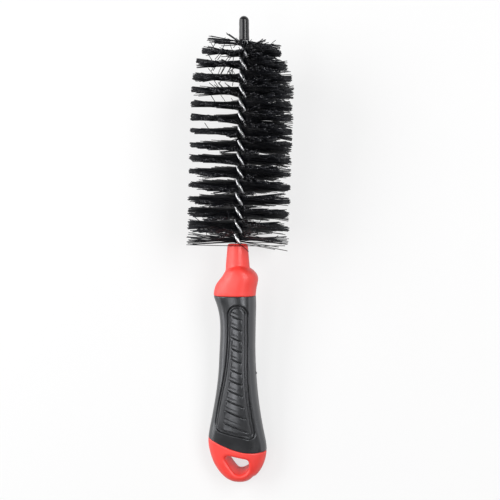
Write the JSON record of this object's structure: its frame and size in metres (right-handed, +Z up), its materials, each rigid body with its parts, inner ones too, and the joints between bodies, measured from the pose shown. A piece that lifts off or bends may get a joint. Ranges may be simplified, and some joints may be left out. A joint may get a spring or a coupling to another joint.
{
  "type": "wheel brush",
  "caption": "Hand-held wheel brush: twisted-wire bristle head with a tip cap, in a two-colour hand grip with a hanging eye.",
  "frame": {"origin": "middle of the brush's footprint on the floor it lies on", "axes": "+Y along the brush from butt to tip (rising 8.5 degrees), +Z up out of the handle's front face, +X across to the right"},
  "size_m": [0.0596, 0.2612, 0.0687],
  "materials": {
    "red_plastic": "satin",
    "grip_rubber": "matte",
    "galvanised_wire": "bright drawn",
    "cap_plastic": "gloss",
    "filament": "satin"
  },
  "bodies": {
    "root": {"handle_core": "red_plastic", "grip_sleeve": "grip_rubber", "wire_strand_a": "galvanised_wire", "wire_strand_b": "galvanised_wire", "tip_cap": "cap_plastic", "bristle_row_01": "filament", "bristle_row_02": "filament", "bristle_row_03": "filament", "bristle_row_04": "filament", "bristle_row_05": "filament", "bristle_row_06": "filament", "bristle_row_07": "filament", "bristle_row_08": "filament", "bristle_row_09": "filament", "bristle_row_10": "filament", "bristle_row_11": "filament", "bristle_row_12": "filament", "bristle_row_13": "filament", "bristle_row_14": "filament", "bristle_row_15": "filament"}
  },
  "joints": []
}
